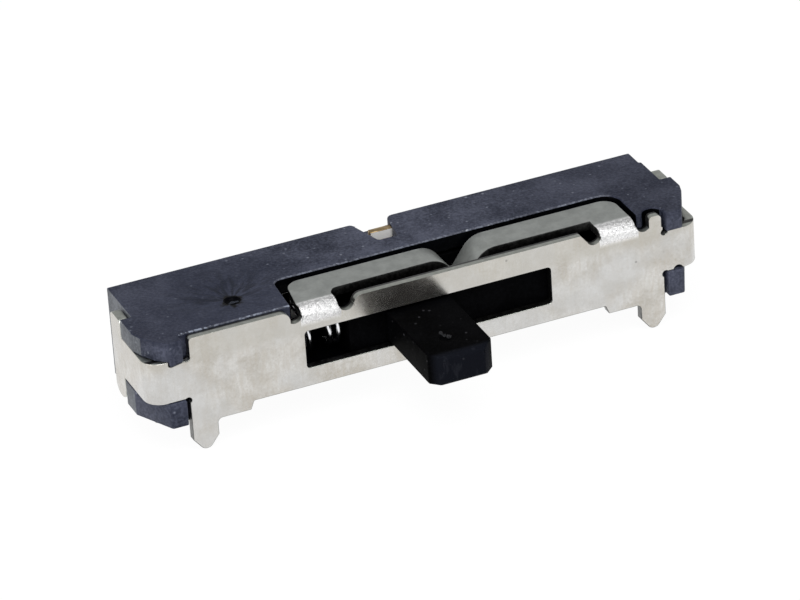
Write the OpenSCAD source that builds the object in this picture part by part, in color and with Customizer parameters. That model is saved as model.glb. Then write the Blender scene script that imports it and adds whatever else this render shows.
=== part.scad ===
// Sub-miniature slide switch for a circuit board, worked from the side.
// A moulded housing, open at the front, is closed by one folded sheet-metal
// cover. The slider runs along X behind the cover's slot. A coil spring returns
// it from the left, and the nose of the cover's leaf clicks on its track.
// +X to the right, +Y to the back, +Z up. The origin is on the board, midway
// between the pegs and under the middle of the housing. Sizes are in mm.

/* [Board seat] */
// Distance from the cover's front face back to the origin
seat_back = 1.15; // [1.0:0.05:1.3]

/* [Housing] */
// Length of the housing between its end walls' outer faces
body_w = 9.1; // [8.9:0.1:9.6]
// Depth of the housing from its front edge to its back
body_d = 1.97; // [1.95:0.01:2.2]
// Height of the housing above the board
body_h = 1.55; // [1.5:0.05:1.7]
// Thickness of the floor
floor_t = 0.28; // [0.24:0.02:0.3]
// Thickness of the roof
roof_t = 0.27; // [0.2:0.01:0.3]
// Thickness of the rear wall, which holds the terminals
rear_t = 0.35; // [0.3:0.01:0.4]
// Thickness of the end walls around the cavity
end_t = 0.65; // [0.55:0.05:0.7]
// Relief under the front edge of the floor, up from the board
front_relief_h = 0.12; // [0.08:0.01:0.14]
// Depth of that relief from the front edge back
front_relief_d = 0.28; // [0.2:0.02:0.4]
// Length of the corner lugs along Y, from their front faces
lug_d = 1.1; // [1.0:0.01:1.1]
// Height of the lower lugs' undersides above the board
lug_z = 0.04; // [0:0.01:0.1]
// How far the lugs stand out past the end walls
lug_out = 0.19; // [0.17:0.01:0.22]
// How far the lugs stand out past the cover's front face
lug_proud = 0.04; // [0:0.01:0.05]
// Width of the corner lugs along X at their front faces
lug_face = 0.27; // [0.2:0.01:0.3]
// Gap between the lugs and the cover's band between them
lug_gap = 0.01; // [0.005:0.005:0.03]
// Reach of the key under the upper left lug into the band
key_d = 0.095; // [0.08:0.005:0.11]
// Room around the leaf in the opening of the roof
leaf_room = 0.08; // [0.06:0.01:0.15]
// How far the opening widens to the left at its front
leaf_room_flare = 0.05; // [0.02:0.01:0.12]
// Distance of the moulding gate's mark from the middle, to the left
gate_x = 2.98; // [2.7:0.02:3.1]
// Distance of the gate's mark behind the cover's front face
gate_y = 0.75; // [0.6:0.01:0.9]
// Diameter of the gate's mark
gate_d = 0.24; // [0.16:0.02:0.3]
// Depth of the gate's mark
gate_depth = 0.04; // [0.02:0.01:0.06]

/* [Cover] */
// Thickness of the cover's sheet
sheet_t = 0.15; // [0.13:0.01:0.16]
// Gap between the cover's front plate and the housing
cover_gap = 0.01; // [0.005:0.005:0.02]
// Gap between the end panels and the housing's end walls
panel_gap = 0.03; // [0.01:0.01:0.05]
// Width of the front plate across its two pegs
plate_w = 8.14; // [8.0:0.02:8.2]
// Height of the front plate's lower edge above the board
plate_z = 0.145; // [0.1:0.005:0.2]
// Width of the actuator slot
slot_w = 4.2; // [4.0:0.05:4.4]
// Height of the actuator slot
slot_h = 0.65; // [0.6:0.005:0.68]
// Height of the slot's lower edge above the board
slot_z = 0.46; // [0.44:0.01:0.5]
// Corner radius of the slot
slot_r = 0.06; // [0.03:0.01:0.08]
// Height of the band's lower edge above the board
band_z = 0.485; // [0.44:0.01:0.5]
// Height of the band that wraps round each end
band_h = 0.72; // [0.6:0.02:0.74]
// Inside radius of the bend at each front corner
corner_r = 0.15; // [0.1:0.01:0.2]
// Distance from the front face to the end panels
panel_y = 1.1; // [1.08:0.01:1.2]
// Depth of the end panels along Y
panel_d = 0.43; // [0.42:0.01:0.5]
// Height of the end panels' lower edge above the board
panel_z = 0.06; // [0.03:0.01:0.1]
// Distance of the end panels' top below the roof
panel_drop = 0.055; // [0.03:0.005:0.1]
// Radius of the end panels' upper corners
panel_r = 0.1; // [0.06:0.01:0.2]
// Radius of the end panels' lower corners
panel_low_r = 0.2; // [0.1:0.01:0.21]
// Width of each locating peg
peg_w = 0.43; // [0.4:0.01:0.5]
// Length of each locating peg below the board's face
peg_len = 0.47; // [0.4:0.01:0.8]
// Width of the standing foot beside each peg
stand_w = 0.56; // [0.4:0.01:0.6]
// Width of the tab at the plate's upper left
tab_w = 1.69; // [1.5:0.01:1.7]
// Distance of that tab's top below the roof
tab_drop = 0.025; // [0:0.005:0.04]
// Distance of the raised edge between the folds below the roof
rim_drop = 0.035; // [0:0.005:0.05]
// Width of the finger at the plate's upper right
finger_w = 0.21; // [0.16:0.01:0.24]
// Distance of the finger's tip below the roof
finger_drop = 0.02; // [0:0.01:0.05]

/* [Leaf of the cover] */
// Position of the middle of the leaf along X
leaf_x = 0.75; // [0.7:0.05:0.8]
// Length of the leaf along X
leaf_w = 5.74; // [5.6:0.02:5.8]
// Width of each fold that carries the leaf
fold_w = 0.62; // [0.5:0.02:0.7]
// Inside radius of the folds
fold_r = 0.05; // [0.03:0.01:0.06]
// Distance from the cover's front face to the leaf's front edge
leaf_y = 0.4; // [0.38:0.01:0.45]
// Width of the leaf along Y
leaf_d = 0.55; // [0.45:0.01:0.56]
// Corner radius of the leaf's outer corners
leaf_r = 0.25; // [0.15:0.01:0.3]
// How far the leaf's left-hand end narrows from its fold to its corner
leaf_taper = 0.07; // [0.02:0.01:0.1]
// How far the front edge of the leaf's left arm is set back from the right one's
leaf_step = 0.03; // [0.01:0.01:0.05]
// Distance of the leaf's top below the roof
leaf_drop = 0.05; // [0.03:0.01:0.08]
// Width of the relief cuts beside the folds
relief_w = 0.25; // [0.18:0.01:0.26]
// Depth of the nose below the leaf's top
nose_depth = 0.45; // [0.42:0.01:0.46]
// Slope of the nose's flanks in degrees
nose_angle = 54; // [46:1:56]
// Radius where the nose's flanks leave the leaf, on its top
shoulder_r = 0.4; // [0.3:0.01:0.42]
// Inside radius at the bottom of the nose
nose_r = 0.05; // [0.03:0.01:0.08]

/* [Slider] */
// Position of the slider's left end along X
slider_x = -1.3; // [-1.35:0.01:-1.28]
// Length of the slider's body
slider_w = 3.5; // [3.4:0.01:3.52]
// Depth of the slider's body
slider_d = 1.07; // [1.0:0.01:1.1]
// Thickness of the slider's front and rear walls
slider_wall = 0.2; // [0.15:0.01:0.22]
// Running gap between the slider and what it slides in
slide_gap = 0.03; // [0.02:0.005:0.04]
// Gap between the leaf's nose and the crests of the track
nose_gap = 0.03; // [0.02:0.005:0.05]
// Depth of the click notches in the track
notch_depth = 0.12; // [0.08:0.01:0.14]
// Distance between the click notches
click_pitch = 1.5; // [1.4:0.05:1.5]
// Position of the middle of the knob along X
knob_x = -0.15; // [-0.2:0.005:-0.1]
// Width of the knob
knob_w = 1.08; // [0.9:0.01:1.1]
// Height of the knob
knob_h = 0.52; // [0.45:0.01:0.54]
// Height of the knob's underside above the board
knob_z = 0.53; // [0.5:0.005:0.56]
// How far the knob stands out of the cover
knob_out = 1.7; // [1.0:0.01:2.0]
// Chamfer of the knob's two upright corners
knob_chamfer = 0.2; // [0.08:0.01:0.22]
// Diameter of the moulding gate's mark on the knob
knob_gate_d = 0.16; // [0.1:0.01:0.2]

/* [Travel] */
// Travel of the slider to the left, against the spring
travel_left = 1.38; // [1.3:0.01:1.4]
// Travel of the slider to the right
travel_right = 1.62; // [1.5:0.01:1.64]
// Clearance left at the end of each travel
end_gap = 0.05; // [0.03:0.01:0.08]

/* [Return spring] */
// Outside diameter of the coil
spring_od = 0.8; // [0.7:0.02:0.82]
// Diameter of the wire
wire_d = 0.08; // [0.06:0.01:0.1]
// Number of turns
spring_turns = 9.5; // [8:0.5:11]
// Number of closed turns at each end
closed_turns = 1.5; // [1:0.25:2]
// Distance from the cover's front face back to the coil's axis
spring_y = 0.7; // [0.66:0.01:0.74]
// Height of the coil's axis above the board
spring_z = 0.82; // [0.8:0.01:0.84]
// Room between the coil and the housing's channel
spring_room = 0.04; // [0.03:0.01:0.06]
// Diameter of the spigot that guides the coil
spigot_d = 0.5; // [0.4:0.02:0.54]
// Length of the spigot
spigot_len = 0.3; // [0.2:0.02:0.4]

/* [Terminals] */
// Thickness of the terminals' strip
strip_t = 0.12; // [0.1:0.01:0.13]
// Distance between neighbouring solder tails
tail_pitch = 1.5; // [1.45:0.05:1.5]
// Width of each solder tail
tail_w = 0.5; // [0.4:0.02:0.6]
// Length of each solder tail behind the housing
tail_len = 0.5; // [0.3:0.05:0.8]
// Inside radius of the bend in each terminal
tail_r = 0.08; // [0.05:0.01:0.1]
// Width of each fixed contact
pad_w = 1.2; // [1.0:0.05:1.25]
// Height of the two rows of fixed contacts
row_h = 0.35; // [0.3:0.01:0.38]
// Height of the lower row above the board
low_row_z = 0.35; // [0.32:0.01:0.38]
// Height of the upper row above the board
high_row_z = 0.82; // [0.8:0.01:0.84]
// Width of the common terminal's sheared tab in the rear notch
tie_w = 0.4; // [0.3:0.02:0.44]
// Distance of the sheared tab's top below the roof
tie_drop = 0.04; // [0.02:0.01:0.08]
// Depth of the rear notch below the roof
tie_notch_h = 0.19; // [0.12:0.01:0.22]

/* [Moving contact] */
// Thickness of the moving contact's strip
clip_t = 0.08; // [0.06:0.01:0.1]
// Length of the moving contact's base plate
clip_w = 1.8; // [1.6:0.02:2.0]
// Height of each contact finger
finger_h = 0.26; // [0.2:0.01:0.3]
// Radius of the rounded contact nose, inside
clip_nose_r = 0.1; // [0.08:0.01:0.12]
// Gap between the contact noses and the fixed contacts
contact_gap = 0.02; // [0.015:0.005:0.04]
// Diameter of the two staking pips that hold the base plate
pip_d = 0.2; // [0.16:0.01:0.24]

/* [Hidden] */
$fn = 48;
// Cutting tools overshoot open faces by this much
over = 0.2;

// Planes of the cover and the housing
face_y = -seat_back;
inner_y = face_y + sheet_t;
front_y = inner_y + cover_gap;
back_y = front_y + body_d;
side_x = body_w / 2;
panel_x = side_x + panel_gap;
outer_x = panel_x + sheet_t;
roof_z = body_h - roof_t;
rear_y = back_y - rear_t;
cavity_right = side_x - end_t;
spring_end_x = -side_x + end_t;
cavity_left = slider_x - travel_left - end_gap;

// Leaf and nose
leaf_top = body_h - leaf_drop;
leaf_x0 = leaf_x - leaf_w / 2;
leaf_x1 = leaf_x + leaf_w / 2;
leaf_front = face_y + leaf_y;
leaf_back = leaf_front + leaf_d;
fold_out_r = fold_r + sheet_t;
fold_z = leaf_top - fold_out_r;
fold_flat = 0.06;
neck_root = fold_flat / 2;
neck_y = face_y + fold_out_r + fold_flat;
shoulder_fall = shoulder_r * (1 - cos(nose_angle));
nose_fall = nose_r * (1 - cos(nose_angle));
flank_fall = nose_depth - shoulder_fall - nose_fall;
flank_run = flank_fall / tan(nose_angle);
nose_half = (shoulder_r + nose_r) * sin(nose_angle) + flank_run;
nose_z = leaf_top - nose_depth - sheet_t;
nose_x = leaf_x + 0.04;

// Plate outline
peg_x = (plate_w - peg_w) / 2;
plate_top = fold_z;
edge_inset = 0.06;
tab_x0 = edge_inset - plate_w / 2;
tab_x1 = tab_x0 + tab_w;
rim_x0 = leaf_x0 + fold_w + relief_w;
rim_x1 = leaf_x1 - fold_w - relief_w;
finger_inset = 0.02;
finger_x = (plate_w - finger_w) / 2 - finger_inset;
finger_z = body_h - finger_drop;
rim_z = body_h - rim_drop;
finger_room = 0.06;
step_t = 0.04;
step_d = 0.38;
lower_lug_z = band_z - lug_gap;
upper_lug_z = band_z + band_h + lug_gap;

// Slider
slider_front = inner_y + slide_gap;
slider_back = slider_front + slider_d;
slider_low = floor_t + slide_gap;
slider_high = roof_z - 2 * slide_gap;
track_z = nose_z - nose_gap;
knob_x0 = knob_x - knob_w / 2;
notch_half = 0.24;
end_wall_t = 0.18;
end_wall_rise = 0.1;
end_wall_z = nose_z + end_wall_rise;

// Contacts
contact_x = slider_x + slider_w / 2;
high_row_top = high_row_z + row_h;
common_x = contact_x - 2 * tail_pitch;
tail_end = back_y + tail_len;
clip_y = slider_back;
clip_inset = 0.05;
clip_z0 = slider_low + clip_inset;
clip_z1 = slider_high - clip_inset;
clip_x0 = contact_x - clip_w / 2;
clip_x1 = contact_x + clip_w / 2;
clip_nose_y = rear_y - contact_gap;
pip_z = (clip_z0 + clip_z1) / 2;
pip_inset = 0.32;
pip_x = [clip_x0 + pip_inset, clip_x1 - pip_inset];
pip_fit = 0.01;

// ---- outlines -----------------------------------------------------------

// Rectangle between two corners with all four corners rounded
module rounded(x0, y0, x1, y1, r) {
    translate([x0 + r, y0]) square([x1 - x0 - 2 * r, y1 - y0]);
    translate([x0, y0 + r]) square([x1 - x0, y1 - y0 - 2 * r]);
    for (x = [x0 + r, x1 - r], y = [y0 + r, y1 - r]) translate([x, y]) circle(r);
}

// Part of a ring between two angles, less than 180 degrees apart
module arc_strip(r_in, r_out, a0, a1) {
    reach = 3 * r_out;
    am = (a0 + a1) / 2;
    intersection() {
        difference() {
            circle(r_out);
            circle(r_in);
        }
        polygon([[0, 0], [reach * cos(a0), reach * sin(a0)],
                 [reach * cos(am), reach * sin(am)], [reach * cos(a1), reach * sin(a1)]]);
    }
}

// An outline drawn in X and Z, given a thickness along Y from y on
module upright(y, depth) {
    translate([0, y + depth, 0]) rotate([90, 0, 0]) linear_extrude(depth) children();
}

// An outline drawn in Y and Z, given a thickness along X from x on
module sideways(x, width) {
    translate([x, 0, 0]) rotate([90, 0, 90]) linear_extrude(width) children();
}

// ---- cover --------------------------------------------------------------

// A locating peg that narrows to a round tip, and the standing foot beside it
module peg_outline() {
    half = peg_w / 2;
    root_r = 0.08;
    tip_r = 0.12;
    taper = 0.2;
    foot_slope = 0.06;
    stand_x = peg_x - half - stand_w;
    // where the sloping sides meet the tip's round, seen from its middle
    drop = taper - tip_r;
    lean = atan2(drop, half) - acos(tip_r / norm([half, drop]));
    meet = tip_r * [cos(lean), sin(lean)];
    translate([peg_x - half, taper - peg_len]) square([peg_w, plate_z - taper + peg_len]);
    translate([peg_x, tip_r - peg_len]) {
        circle(tip_r);
        polygon([[-half, drop], [half, drop], meet, [-meet[0], meet[1]]]);
    }
    polygon([[stand_x - foot_slope, plate_z], [stand_x, 0], [peg_x, 0], [peg_x, plate_z]]);
    translate([peg_x - half - root_r, -root_r]) difference() {
        square([root_r + half, root_r + half]);
        circle(root_r);
    }
}

// The tab at the upper left, with a small and a large rounded corner
module tab_outline() {
    top = body_h - tab_drop;
    near_r = 0.06;
    far_r = 0.16;
    translate([tab_x0 + near_r, plate_z]) square([tab_w - near_r - far_r, top - plate_z]);
    translate([tab_x0, plate_z]) square([tab_w, top - far_r - plate_z]);
    translate([tab_x0 + near_r, top - near_r]) circle(near_r);
    translate([tab_x0, top - far_r]) square([near_r, far_r - near_r]);
    translate([tab_x1 - far_r, top - far_r]) circle(far_r);
}

// The raised edge between the two folds: its left-hand corner is rounded,
// its right-hand end slopes
module rim_outline() {
    slope = 0.1;
    near_r = 0.15;
    shoulder = plate_top + 0.08;
    polygon([[rim_x0, plate_top - over], [rim_x0, rim_z - near_r], [rim_x0 + near_r, rim_z],
             [rim_x1 - slope, rim_z], [rim_x1, shoulder], [rim_x1, plate_top - over]]);
    translate([rim_x0 + near_r, rim_z - near_r]) circle(near_r);
}

module finger_outline() {
    tip_r = 0.07;
    x0 = finger_x - finger_w / 2;
    translate([x0, plate_top - over]) square([finger_w, finger_z - tip_r - plate_top + over]);
    translate([x0 + tip_r, finger_z - tip_r - over]) square([finger_w - 2 * tip_r, tip_r + over]);
    for (x = [x0 + tip_r, x0 + finger_w - tip_r]) translate([x, finger_z - tip_r]) circle(tip_r);
}

// What fills the two corners of a relief cut from x on, to leave its bottom round
module relief_floor(x) {
    r = 0.51 * relief_w;
    difference() {
        translate([x, plate_top - over]) square([relief_w, r + over]);
        translate([x + relief_w / 2, plate_top + r]) circle(r);
    }
}

// Front plate: everything of the cover that lies in its front plane
module plate_outline() {
    bend_x = outer_x - sheet_t - corner_r;
    band_relief_r = 0.08;
    corner_relief_r = 0.055;
    difference() {
        union() {
            translate([-plate_w / 2, plate_z]) square([plate_w, plate_top - plate_z]);
            translate([-bend_x, band_z]) square([2 * bend_x, band_h]);
            tab_outline();
            rim_outline();
            finger_outline();
            peg_outline();
            mirror([1, 0]) peg_outline();
            for (x = [leaf_x0 - relief_w, leaf_x0 + fold_w, rim_x1, leaf_x1]) relief_floor(x);
        }
        rounded(-slot_w / 2, slot_z, slot_w / 2, slot_z + slot_h, slot_r);
        // the band alone goes on past the tab and the finger
        translate([-plate_w / 2 - over, band_z + band_h]) square([tab_x0 + plate_w / 2 + over, over]);
        // relief in the right-hand end of the band, short of its bend
        translate([bend_x - band_relief_r - edge_inset / 2, band_z - band_relief_r / 4])
            circle(band_relief_r);
        // reliefs in the inner corners where the band leaves the plate
        for (side = [-1, 1])
            translate([side * (plate_w + corner_relief_r) / 2, band_z - corner_relief_r * 0.7])
                circle(corner_relief_r);
        translate([-plate_w / 2, band_z + band_h - corner_relief_r / 5]) circle(corner_relief_r);
        translate([(plate_w + corner_relief_r) / 2, band_z + band_h]) circle(corner_relief_r);
        // notch for the key under the upper left lug
        translate([0, upper_lug_z]) polygon(lug_key(-plate_w / 2, lug_gap));
    }
}

// One end of the band: the bend round the corner and the end panel
module end_wrap() {
    bend = corner_r + sheet_t;
    translate([outer_x - bend, face_y + bend, band_z])
        linear_extrude(band_h) arc_strip(corner_r, bend, 270, 360);
    sideways(panel_x, sheet_t) {
        translate([face_y + bend, band_z]) square([panel_y - bend + panel_low_r, band_h]);
        translate([face_y + panel_y, 0]) {
            rounded(0, panel_z, panel_d, band_z + band_h, panel_low_r);
            rounded(0, band_z, panel_d, body_h - panel_drop, panel_r);
        }
    }
}

// A fold that carries one end of the leaf, from x on
module fold(x) {
    sideways(x, fold_w) {
        translate([face_y + fold_out_r, fold_z]) arc_strip(fold_r, fold_out_r, 90, 180);
        translate([face_y + fold_out_r, leaf_top - sheet_t]) square([fold_flat, sheet_t]);
    }
}

// Profile of the leaf in X and Z, the sheet's own thickness throughout: the
// nose in the middle and a flat arm on each side
module leaf_profile() {
    // the arcs run on by this angle into the flanks that they meet
    lap = 0.5;
    flank_top = [-nose_half + shoulder_r * sin(nose_angle), leaf_top - shoulder_fall];
    flank_low = [flank_top[0] + flank_run, flank_top[1] - flank_fall];
    back = [-sheet_t * sin(nose_angle), -sheet_t * cos(nose_angle)];
    for (side = [0, 1]) mirror([side, 0]) {
        translate([-leaf_w, leaf_top - sheet_t]) square([leaf_w - nose_half, sheet_t]);
        translate([-nose_half, leaf_top - shoulder_r])
            arc_strip(shoulder_r - sheet_t, shoulder_r, 90 - nose_angle - lap, 90);
        polygon([flank_top, flank_low, flank_low + back, flank_top + back]);
    }
    translate([0, leaf_top - nose_depth + nose_r])
        arc_strip(nose_r, nose_r + sheet_t, 270 - nose_angle - lap, 270 + nose_angle + lap);
}

// Plan of the leaf: its body with rounded outer corners, and the necks that
// join it to its folds, the left-hand one narrowing
module leaf_plan() {
    left = leaf_x0 + leaf_taper;
    turn_y = leaf_back - leaf_r;
    arm_x0 = leaf_x0 + fold_w;
    arm_y = leaf_front + leaf_step;
    inner_r = 0.15;
    for (x = [left + leaf_r, leaf_x1 - leaf_r]) translate([x, turn_y]) circle(leaf_r);
    translate([left + leaf_r, turn_y]) square([leaf_x1 - left - 2 * leaf_r, leaf_r]);
    polygon([[arm_x0, turn_y + over / 2], [arm_x0, arm_y], [arm_x0 + inner_r, arm_y],
             [nose_x - nose_half, arm_y + leaf_step / 2], [nose_x, leaf_front],
             [leaf_x1, leaf_front], [leaf_x1, turn_y], [leaf_x1 - leaf_r, turn_y + over / 2]]);
    // the rounded corner between the left-hand neck and its arm
    translate([arm_x0, arm_y - inner_r]) difference() {
        translate([-over, 0]) square(inner_r + over);
        translate([inner_r, 0]) circle(inner_r);
    }
    translate([leaf_x1 - fold_w, neck_y]) square([fold_w, turn_y - neck_y]);
    polygon([[leaf_x0, neck_y], [leaf_x0 + fold_w, neck_y], [leaf_x0 + fold_w, turn_y], [left, turn_y]]);
    // the roots of the necks, inside the folds' flats
    for (x = [leaf_x0, leaf_x1 - fold_w])
        polygon([[x, neck_y], [x + neck_root, neck_y - neck_root],
                 [x + fold_w - neck_root, neck_y - neck_root], [x + fold_w, neck_y]]);
}

module leaf() {
    intersection() {
        upright(neck_y - neck_root, leaf_back - neck_y + neck_root)
            translate([nose_x, 0]) leaf_profile();
        translate([0, 0, nose_z - over]) linear_extrude(leaf_top - nose_z + 2 * over) leaf_plan();
    }
}

module cover() {
    color([0.80, 0.79, 0.77]) {
        upright(face_y, sheet_t) plate_outline();
        end_wrap();
        mirror([1, 0, 0]) end_wrap();
        fold(leaf_x0);
        fold(leaf_x1 - fold_w);
        leaf();
    }
}

// ---- housing ------------------------------------------------------------

// Corner lug in plan on the right-hand side: points run from its inner side
// round the front. cut gives the corner's points between face and flank.
module lug_plan(cut) {
    x0 = plate_w / 2 + edge_inset;
    y0 = face_y - lug_proud;
    x1 = side_x + lug_out;
    polygon(concat([[x0, front_y + over], [x0, y0]],
                   [for (p = cut) [x1 - p[0], y0 + p[1]]],
                   [[x1, y0 + lug_d], [side_x - over, y0 + lug_d], [side_x - over, front_y + over]]));
}

// Side view of the key under the upper left lug, from x1 to the left, grown by
// so much for its notch; heights are from the lug's underside
function lug_key(x1, grow) =
    let (deep_x = -plate_w / 2 - edge_inset - 0.2, end_x = deep_x - 0.03 - grow, low = -key_d - grow)
    [[x1, over / 2], [x1, -key_d / 2 - grow], [deep_x, low], [end_x, low + 0.02],
     [end_x, 0], [deep_x, over / 2]];

module lugs() {
    face_end = side_x + lug_out - plate_w / 2 - edge_inset - lug_face;
    long_cut = [[face_end, 0], [0, 0.7]];
    eased_cut = [[face_end, 0], [0.05, 0.6], [0, 0.76]];
    round_cut = [[face_end + 0.03, 0], [0.2, 0.16], [0.07, 0.4], [0, 0.62]];
    translate([0, 0, upper_lug_z]) linear_extrude(body_h - upper_lug_z) {
        lug_plan(eased_cut);
        mirror([1, 0]) lug_plan(round_cut);
    }
    upright(face_y - lug_proud, front_y - face_y + lug_proud)
        translate([0, upper_lug_z]) polygon(lug_key(-plate_w / 2 - edge_inset, 0));
    translate([0, 0, lug_z]) linear_extrude(lower_lug_z - lug_z) {
        lug_plan(long_cut);
        mirror([1, 0]) lug_plan(long_cut);
    }
}

// Main block, its front corners cut back inside the cover's bends
module block() {
    bend_room = 0.04;
    clear = corner_r + bend_room;
    linear_extrude(body_h)
        polygon([[-side_x, back_y], [-side_x, front_y + clear], [-side_x + clear, front_y],
                 [side_x - clear, front_y], [side_x, front_y + clear], [side_x, back_y]]);
}

// Space for the slider, and the narrower channel for the spring at its left
module cavity() {
    channel = spring_od / 2 + spring_room;
    spring_axis_y = face_y + spring_y;
    translate([cavity_left, front_y - over, floor_t])
        cube([cavity_right - cavity_left, rear_y - front_y + over, roof_z - floor_t]);
    translate([spring_end_x, front_y - over, spring_z - channel])
        cube([cavity_left - spring_end_x + over, spring_axis_y + channel - front_y + over, 2 * channel]);
}

// Opening in the roof under the leaf, open to the front
module leaf_opening() {
    left_r = 0.15;
    right_r = leaf_r + 0.05;
    x0 = leaf_x0 - leaf_room;
    x1 = leaf_x1 + leaf_room;
    y1 = leaf_back + leaf_room;
    translate([0, 0, leaf_top - sheet_t - leaf_room - over])
        linear_extrude(body_h + over) {
            polygon([[x0, y1 - left_r], [x0 - leaf_room_flare, front_y],
                     [x0 - leaf_room_flare, front_y - over], [x1, front_y - over], [x1, y1 - right_r]]);
            translate([x0 + left_r, front_y - over])
                square([x1 - x0 - left_r - right_r, y1 - front_y + over]);
            translate([x0 + left_r, y1 - left_r]) circle(left_r);
            translate([x1 - right_r, y1 - right_r]) circle(right_r);
        }
}

// What a rounded corner of radius r leaves free, right of a slot's edge at the origin
module corner_cut(r) {
    difference() {
        translate([-over, -r]) square([over + r, over + r]);
        translate([r, -r]) circle(r);
    }
}

// Notch in the roof's rear edge, down to the common terminal's tab: it widens
// to the back, and the roof's corners beside it are rounded
module rear_notch() {
    y0 = rear_y - 0.34;
    y1 = back_y + over;
    front_r = 0.04;
    // the walls at the front and at the back, and the rear corners' radii
    left = [-tie_w / 2 - 0.01, -tie_w / 2 - 0.235];
    right = [tie_w / 2 - 0.07, tie_w / 2 + 0.04];
    radii = [0.08, 0.12];
    function wall_x(wall, r) = wall[0] + (wall[1] - wall[0]) * (back_y - r - y0) / (y1 - y0);
    translate([0, 0, body_h - tie_notch_h]) linear_extrude(tie_notch_h + over) {
        polygon([[left[0], y0 + front_r], [left[0] + front_r, y0], [right[0] - front_r, y0],
                 [right[0], y0 + front_r], [right[1], y1], [left[1], y1]]);
        translate([wall_x(left, radii[0]), back_y]) mirror([1, 0]) corner_cut(radii[0]);
        translate([wall_x(right, radii[1]), back_y]) corner_cut(radii[1]);
    }
}

module housing() {
    color([0.16, 0.17, 0.22]) difference() {
        union() {
            block();
            lugs();
        }
        cavity();
        leaf_opening();
        rear_notch();
        all_terminals();
        // relief under the front edge, inboard of the feet
        translate([-plate_w / 2, front_y - over, -over])
            cube([plate_w, front_relief_d + over, front_relief_h + over]);
        // room behind the cover's finger
        translate([finger_x, front_y - finger_room, upper_lug_z])
            cylinder(r = finger_w / 2 + finger_room, h = body_h);
        // shallow step at the back of the right-hand end
        translate([side_x - step_t, back_y - step_d, -over])
            cube([over, step_d + over, body_h + 2 * over]);
        // gate mark
        translate([-gate_x, face_y + gate_y, body_h - gate_depth]) cylinder(d = gate_d, h = over);
    }
}

// ---- slider -------------------------------------------------------------

// The knob, its two upright corners chamfered and its tip's edges eased
module knob() {
    ease = 0.06;
    tip_y = face_y - knob_out;
    root_y = slider_front + slider_wall / 2;
    intersection() {
        translate([knob_x0, 0, knob_z]) linear_extrude(knob_h)
            polygon([[0, root_y], [0, tip_y + knob_chamfer], [knob_chamfer, tip_y],
                     [knob_w - knob_chamfer, tip_y], [knob_w, tip_y + knob_chamfer], [knob_w, root_y]]);
        sideways(knob_x0, knob_w)
            polygon([[root_y, knob_z], [root_y, knob_z + knob_h], [tip_y + ease, knob_z + knob_h],
                     [tip_y, knob_z + knob_h - ease], [tip_y, knob_z + ease], [tip_y + ease, knob_z]]);
    }
}

// Side view of the track: crests with a click notch at each detent
module track_outline() {
    difference() {
        translate([slider_x, slider_low]) square([slider_w, track_z - slider_low]);
        for (x = [nose_x, nose_x - click_pitch])
            polygon([[x - notch_half, track_z + over], [x - notch_half, track_z],
                     [x - notch_half / 3, track_z - notch_depth],
                     [x + notch_half / 3, track_z - notch_depth],
                     [x + notch_half, track_z], [x + notch_half, track_z + over]]);
    }
}

module slider() {
    wall_h = slider_high - slider_low;
    pip_root = 0.05;
    pip_head = 0.06;
    gate_offset = -0.085;
    knob_gate_y = 1.15;
    knob_gate_depth = 0.03;
    spring_axis_y = face_y + spring_y;
    color([0.05, 0.05, 0.06]) difference() {
        union() {
            translate([slider_x, slider_front, slider_low]) cube([slider_w, slider_wall, wall_h]);
            translate([slider_x, slider_back - slider_wall, slider_low])
                cube([slider_w, slider_wall, wall_h]);
            upright(slider_front, slider_d) track_outline();
            translate([slider_x, slider_front, slider_low])
                cube([end_wall_t, slider_d, end_wall_z - slider_low]);
            translate([slider_x - spigot_len, spring_axis_y, spring_z]) rotate([0, 90, 0])
                cylinder(d = spigot_d, h = spigot_len + end_wall_t / 2);
            knob();
            for (x = pip_x) translate([x, slider_back - pip_root, pip_z]) rotate([-90, 0, 0])
                cylinder(d = pip_d, h = pip_root + clip_t + pip_head);
        }
        // gate mark on the knob
        translate([knob_x + gate_offset, face_y - knob_gate_y, knob_z + knob_h - knob_gate_depth])
            cylinder(d = knob_gate_d, h = over);
    }
}

// ---- return spring ------------------------------------------------------

// Position along the coil's axis after so many turns: closed ends, open middle
function coil_x(t) =
    let (x0 = spring_end_x + wire_d / 2, x1 = slider_x - wire_d / 2,
         closed = 1.15 * wire_d, open_turns = spring_turns - 2 * closed_turns,
         pitch = (x1 - x0 - 2 * closed_turns * closed) / open_turns)
    t < closed_turns ? x0 + t * closed
    : t > spring_turns - closed_turns ? x1 - (spring_turns - t) * closed
    : x0 + closed_turns * closed + (t - closed_turns) * pitch;

module return_spring() {
    mean_r = (spring_od - wire_d) / 2;
    sides = 6;
    per_turn = 16;
    rings = round(spring_turns * per_turn);
    points = [for (i = [0 : rings], k = [0 : sides - 1])
        let (a = 360 * i / per_turn, b = 360 * k / sides,
             r = mean_r + wire_d / 2 * cos(b), x = coil_x(i / per_turn) + wire_d / 2 * sin(b))
        [x, r * sin(a), -r * cos(a)]];
    walls = [for (i = [0 : rings - 1], k = [0 : sides - 1])
        let (a = i * sides + k, b = i * sides + (k + 1) % sides)
        [a, b, b + sides, a + sides]];
    caps = [[for (k = [sides - 1 : -1 : 0]) k], [for (k = [0 : sides - 1]) rings * sides + k]];
    color([0.75, 0.76, 0.78]) translate([0, face_y + spring_y, spring_z])
        polyhedron(points, concat(walls, caps));
}

// ---- moving contact -----------------------------------------------------

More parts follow.
